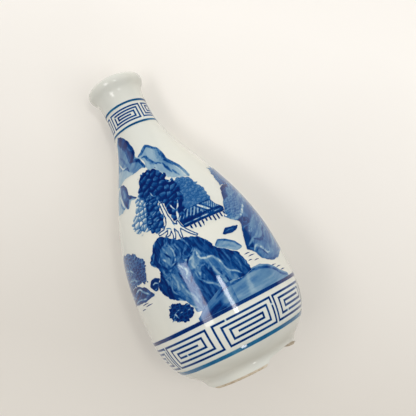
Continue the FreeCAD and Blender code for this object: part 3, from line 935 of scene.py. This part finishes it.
def cliff():
    art = Canvas("cliff", 23, rough=0.45)
    art.wash(0.5, 0.12, 6)
    art.streaks(58, 12, 2.0, 0.22)
    leafy = art.region([(30, 71), (38, 79), (48, 82), (56, 80), (52, 72), (44, 69), (34, 69)], 1.5)
    art.lay(leafy, 0.5)
    art.leaves(0.68, 0.4, 0.42, leafy, size=1.7)
    art.area([(40, 79), (44, 86), (53, 89), (62, 88), (52, 84), (47, 81)], 0.93)
    art.area([(35, 67), (44, 69), (52, 67), (49, 63), (42, 57), (39, 51), (34, 50), (32, 54), (36, 61)],
             0.88)
    art.area([(50, 73), (60, 75), (72, 77), (74, 74), (62, 69), (54, 65)], 0.68, 1.4)
    art.area([(39, 50), (46, 54), (56, 52), (66, 49), (60, 43), (46, 42)], 0.48)
    art.strokes(
        ([(35, 68.8), (41, 68.4), (47, 69.6), (53, 72.4), (60, 75)], 1.3, 0.1, 0.5),
        ([(42, 58.6), (46, 62), (54, 65), (64, 67.6)], 1.3, 0.36, 0.5),
        ([(40, 55.4), (46, 58.4), (54, 61), (62, 63.6)], 1.1, 0.52, 0.5),
        ([(36, 54), (42, 56), (47, 56.8), (52, 59)], 1.2, 0.3, 0.4),
        ([(44, 56), (50, 54.6), (55, 55.6), (59, 58.4), (64, 61)], 1.5, 0.84),
        ([(38.6, 51), (42, 52.6), (46, 51), (49, 47.8), (52, 47.4)], 1.3, 0.14, 0.4),
        ([(39, 49.6), (43, 51), (46.4, 49), (49, 46)], 0.7, 0.85),
        ([(38, 46.4), (43, 44.6), (50, 43.8), (60, 44.2)], 1.3, 0.82),
        ([(52, 53), (58, 52), (64, 54.4), (72, 58)], 1.4, 0.62, 0.5),
        ([(58, 47.6), (68, 50), (80, 55)], 1.6, 0.56, 0.6),
        ([(66, 62), (76, 66), (90, 70)], 1.8, 0.6, 0.6),
        ([(60, 83), (76, 86), (94, 87)], 1.4, 0.66, 0.5),
        ([(70, 74.6), (84, 79), (100, 78)], 1.6, 0.6, 0.6),
        ([(80, 57), (92, 62), (104, 60)], 1.6, 0.24, 0.6),
        ([(66, 80), (80, 82), (94, 82.4)], 1.2, 0.22, 0.5))
    art.veins(56, 2.4, 0.24, 0.5)
    art.veins(50, 1.8, 0.72, 0.5)
    art.streaks(48, 6, 1.0, 0.1)
    art.piece("cobalt_mid")
    art = Canvas("cliff_pines", 14, rough=0.5, grain=1.2, leafy=1.8)
    art.wash(0.2, 0.1, 2)
    for middle in np.arange(50, 88, 2.7):
        lean = 1.4 * math.sin(2.3 * middle)
        art.stroke([(middle - 1.2 + lean, 100), (middle - 0.6 + lean / 2, 95), (middle + 1, 88)], 0.8, 0.9)
    art.leaves(0.7, 0.3, 0.8, 0.4, size=1.6)
    art.lay((1 - ease(88.5, 92, art.z)) * 0.7, 0.72)
    art.streaks(4, 7, 1.4, 0.16)
    art.piece("cobalt_mid")


def left_grove():
    art = Canvas("grove", 26, rough=0.3, grain=1.1, leafy=2.2)
    art.leaves(0.6, 0.95, 0.34)
    dark = art.region([(-58, 69), (-44, 70), (-41, 66), (-43, 60), (-52, 61)], 1.5)
    art.leaves(0.86, 1.1, 0.42, dark, size=1.8, share=0.2)
    art.stroke([(-72, 70.6), (-62, 70), (-55, 67.4)], 1.0, 0.2, 0.4)
    art.stroke([(-70, 65), (-60, 64.6), (-52, 62.6)], 1.0, 0.26, 0.4)
    art.piece("cobalt_mid")
    art = Canvas("grove_rocks", 17, rough=0.35)
    art.wash(0.8, 0.12, 3)
    art.strokes(
        ([(-62, 58.4), (-55, 59), (-50, 56.4), (-45, 54.6)], 1.0, 0.14),
        ([(-56, 56.4), (-52, 57.4), (-48, 55.4)], 0.8, 0.3),
        ([(-84, 57), (-74, 57.8), (-66, 56)], 1.1, 0.3),
        ([(-70, 54), (-60, 54.4), (-50, 53.4)], 0.7, 0.2))
    art.streaks(74, 7, 1.2, 0.2)
    art.piece("cobalt_mid")
    art = Canvas("hut", 27, rough=0.1, soften=1, grow=0.2)
    art.wash(0.9, 0.06, 2)
    art.stroke([(-38.4, 57.6), (-36.4, 57.9), (-34.4, 57.3)], 1.5, 0.06)
    art.stroke([(-39, 55), (-37, 55.2)], 0.7, 0.1)
    art.piece("cobalt_deep")


def bowed(top, foot, bow):
    """A line from top to foot whose middle is moved sideways."""
    return [top, ((top[0] + foot[0]) / 2 + bow, (top[1] + foot[1]) / 2), foot]


def back_scene():
    art = Canvas("back_range", 18, rough=0.3, grain=2.4)
    art.wash(0.3, 0.08, 6)
    for line in ([(121, 97), (131, 103), (139, 109.2), (147, 105)],
                 [(147, 104.6), (156, 112.6), (165, 118.2)], [(165, 118), (173, 111.6), (183, 106)],
                 [(183, 106), (194, 109.6), (203, 103), (216, 97.6)]):
        art.stroke(line, 1.5, 0.78)
    for top, foot in (((139, 108), (146, 98)), ((165, 116), (171, 104)), ((158, 110), (160, 101)),
                      ((172, 111), (180, 100)), ((194, 108), (201, 98)), ((131, 102), (136, 96))):
        art.stroke(bowed(top, foot, 1.5), 1.7, 0.55, 0.7)
    art.streaks(28, 9, 1.8, 0.16)
    art.lay(ease(99, 94, art.z) * 0.6, 0.14)
    art.piece("cobalt_pale")
    art = Canvas("back_island", 19, rough=0.35)
    art.wash(0.5, 0.1)
    art.streaks(12, 7, 1.6, 0.22)
    for top, foot in (((163, 60), (158, 50)), ((174, 62), (178, 50)), ((184, 58), (190, 50)),
                      ((168, 60), (167, 50))):
        art.stroke(bowed(top, foot, -1), 1.4, 0.86, 0.5)
    for top, foot in (((166, 61), (162, 51)), ((178, 60), (183, 51)), ((172, 61), (172, 52))):
        art.stroke(bowed(top, foot, 1), 1.0, 0.18, 0.4)
    art.stroke([(146, 50.2), (160, 48.6), (180, 48.4), (208, 51)], 1.3, 0.82)
    art.piece("cobalt_mid")
    art = Canvas("back_pine", 31, rough=0.3, grain=1.1, leafy=2.2)
    art.leaves(0.62, 1.0, 0.4, share=0.15)
    art.stroke([(173.6, 66), (173.4, 71), (175, 76)], 1.3, 0.06)
    art.piece("cobalt_deep")
    art = Canvas("back_shore", 20, rough=0.2)
    art.wash(0.36, 0.08)
    art.stroke([(128, 34), (138, 37.4), (152, 40.4), (168, 39.6), (186, 41.3), (204, 38.4), (222, 33.8)],
               1.3, 0.72)
    art.streaks(82, 10, 1.4, 0.14)
    art.piece("cobalt_pale")


# Short lines on the water, each as (from azimuth, to azimuth, height)
WATER = ((29, 34, 51), (31, 37, 49.4), (29.5, 33, 47.6), (34, 38.5, 46.6), (44, 52, 40.9), (50, 57, 39.3),
         (53, 61, 37.2), (-60, -50, 51.4), (-56, -46, 50.2), (-64, -57, 49.4), (120, 132, 60),
         (124, 136, 57.4), (216, 228, 54), (220, 236, 51.4), (238, 252, 66), (244, 256, 63))


def water_lines(width=0.5):
    """Short strokes that narrow to their ends."""
    grids = []
    for start, end, height in WATER:
        middle = (start + end) / 2
        grid = ribbon([(start, height), (middle, height + 0.12), (end, height - 0.05)], width, 0.4)
        taper = np.sin(np.linspace(0.12, math.pi - 0.12, len(grid)))[:, None, None]
        grids.append(grid.mean(1, keepdims=True) * (1 - taper) + grid * taper)
    strips("water_lines", grids, [np.full(grid.shape[:2], 0.85) for grid in grids])


glazed_wall()
recess_glaze()
frame["nodes"]["porcelain_body"].material_slots[0].material = biscuit
banding_line("foot_line_upper", cobalt, 0.97, 0.4)
banding_line("foot_line_lower", teal, 0.68, 1.7, spread=0.35)
banding_line("neck_line_upper", teal, 0.82, 2.9)
banding_line("neck_line_lower", teal, 0.8, 4.1)
fret("foot_fret", FRET_BARS, 4, -12.6, 0.85, False, 0.95)
fret("neck_fret", NECK_FRET_BARS, 2, 37.0, 0.72, True, 0.85)
for paint in (far_peak, near_ridge, mountain, tree_crown, pavilion, roots, rock, low_plants, hill_and_shore,
              cliff, left_grove, back_scene, water_lines):
    paint()


# ---------------------------------------------------------------- stage, light and camera

# In metres from here on. The camera leans, so that the upright bottle lies across the picture.
CAMERA_BACK = 0.290
CAMERA_HEIGHT = 0.040
AIM = Vector((0.0161, 0.0, 0.0833))
ROLL = math.radians(26.9)
LENS = 47.6
LIT_HEIGHT = 0.08
TABLE_REACH = 3.0
TABLE_GAP = 0.4 * MM


def aim(thing, target, roll=0.0):
    back = (thing.location - target).normalized()
    turn = back.to_track_quat("Z", "Y")
    thing.rotation_mode = "QUATERNION"
    thing.rotation_quaternion = turn @ Matrix.Rotation(roll, 4, "Z").to_quaternion()


def camera():
    data = bpy.data.cameras.new("camera")
    data.lens = LENS
    data.sensor_width = 36
    eye = new_object("camera", data)
    eye.location = (0, -CAMERA_BACK, CAMERA_HEIGHT)
    aim(eye, AIM, -ROLL)
    bpy.context.scene.camera = eye


def stage_material():
    """A pale table top with painted light, seen from its front only, that lets light through from behind."""
    n = Nodes("pale_table_painted_light")
    where = n.add("SeparateXYZ", {"Vector": n.place()})
    # Painted light: the table's tone grows brighter towards +X and up.
    rise = n.math("ADD", n.math("MULTIPLY", where.outputs["X"], 2.2),
                  n.math("MULTIPLY", where.outputs["Z"], 2.6))
    cloud = n.math("ADD", rise, n.math("MULTIPLY", n.noise(9.0), 0.12))
    tone = n.ramp(cloud, [(0.0, (0.66, 0.63, 0.585)), (0.7, (0.875, 0.85, 0.815))])
    matt = n.add("BsdfDiffuse", {"Color": tone, "Roughness": 0.6})
    # A faint painted glow of its own, though the table is no lamp.
    glow = n.add("Emission", {"Color": tone, "Strength": 0.14})
    table = n.add("AddShader", {0: matt.outputs[0], 1: glow.outputs[0]})
    away = n.math("MAXIMUM", n.add("NewGeometry").outputs["Backfacing"],
                  n.add("LightPath").outputs["Is Shadow Ray"])
    return n.show(n.add("MixShader", {0: away, 1: table.outputs[0], 2: n.add("BsdfTransparent").outputs[0]}))


def stage():
    """The table, as a plane along the bottle's back that is just clear of its belly and its lip."""
    heights = np.arange(30, 120, 0.5)
    lip = path[:, 0][path[:, 1] > HEIGHT - 5].max()
    lip_height = path[:, 1][np.abs(path[:, 0] - lip).argmin()]
    steepness = (radius(heights) - lip) / (lip_height - heights)
    slope = math.atan(steepness.max())
    touch = heights[steepness.argmax()]
    mesh = bpy.data.meshes.new("table")
    down = Vector((0, math.sin(slope), -math.cos(slope)))
    middle = Vector((0, radius(touch) * MM + TABLE_GAP, touch * MM))
    corners = [middle + Vector((x, 0, 0)) * TABLE_REACH + down * y * TABLE_REACH
               for x, y in ((-1, 1), (1, 1), (1, -1), (-1, -1))]
    mesh.from_pydata([tuple(c) for c in corners], [], [(0, 1, 2, 3)])
    mesh.materials.append(stage_material())
    table = new_object("table", mesh)


def light(name, place, size, watts, colour, mirrored=True):
    """A soft box aimed at the bottle, which its glaze mirrors or not."""
    data = bpy.data.lights.new(name, "AREA")
    data.shape = "RECTANGLE"
    data.size, data.size_y = size
    data.energy = watts
    data.color = colour
    lamp = new_object(name, data)
    lamp.location = place
    lamp.visible_glossy = mirrored
    aim(lamp, Vector((0, 0, LIT_HEIGHT)))


def around(azimuth, elevation, distance):
    a, e = math.radians(azimuth), math.radians(elevation)
    return (distance * math.sin(a) * math.cos(e), -distance * math.cos(a) * math.cos(e),
            LIT_HEIGHT + distance * math.sin(e))


def world():
    """A soft surround that is brighter above, with its own tone for mirrored rays and for the camera."""
    n = Nodes("studio", "worlds", "OutputWorld")
    rise = n.add("SeparateXYZ", {"Vector": n.add("TexCoord").outputs["Generated"]}).outputs["Z"]
    glow = n.add("MapRange", {"Value": rise, "From Min": -1, "From Max": 1, "To Min": 0.25, "To Max": 0.85})
    shown = n.add("Background", {"Color": (0.95, 0.945, 0.93, 1), "Strength": glow.outputs[0]})
    rays = n.add("LightPath")
    for kind, colour, strength in (("Is Glossy Ray", (0.95, 0.97, 1.0, 1), 0.1),
                                   ("Is Camera Ray", (0.90, 0.885, 0.85, 1), 1.0)):
        other = n.add("Background", {"Color": colour, "Strength": strength})
        shown = n.add("MixShader", {0: rays.outputs[kind], 1: shown.outputs[0], 2: other.outputs[0]})
    bpy.context.scene.world = n.show(shown)


camera()
stage()
world()
light("window", around(-26, 1, 0.9), (0.21, 0.46), 1.9, (1.0, 0.97, 0.96))
light("lamp", around(13, -6, 0.9), (0.09, 0.26), 1.1, (1.0, 0.98, 0.95))
light("low_glint", (0.02, -0.28, -0.86), (0.09, 0.07), 0.35, (1.0, 0.98, 0.95))
light("ceiling", around(48, 56, 1.4), (1.1, 1.1), 5.2, (1.0, 0.985, 0.95), False)
light("fill", around(32, -26, 1.2), (0.9, 0.9), 3.5, (1.0, 0.99, 0.96), False)
light("back", around(190, 30, 1.2), (0.8, 0.8), 5.0, (1.0, 0.99, 0.97), False)
bpy.context.scene.view_settings.view_transform = "Standard"
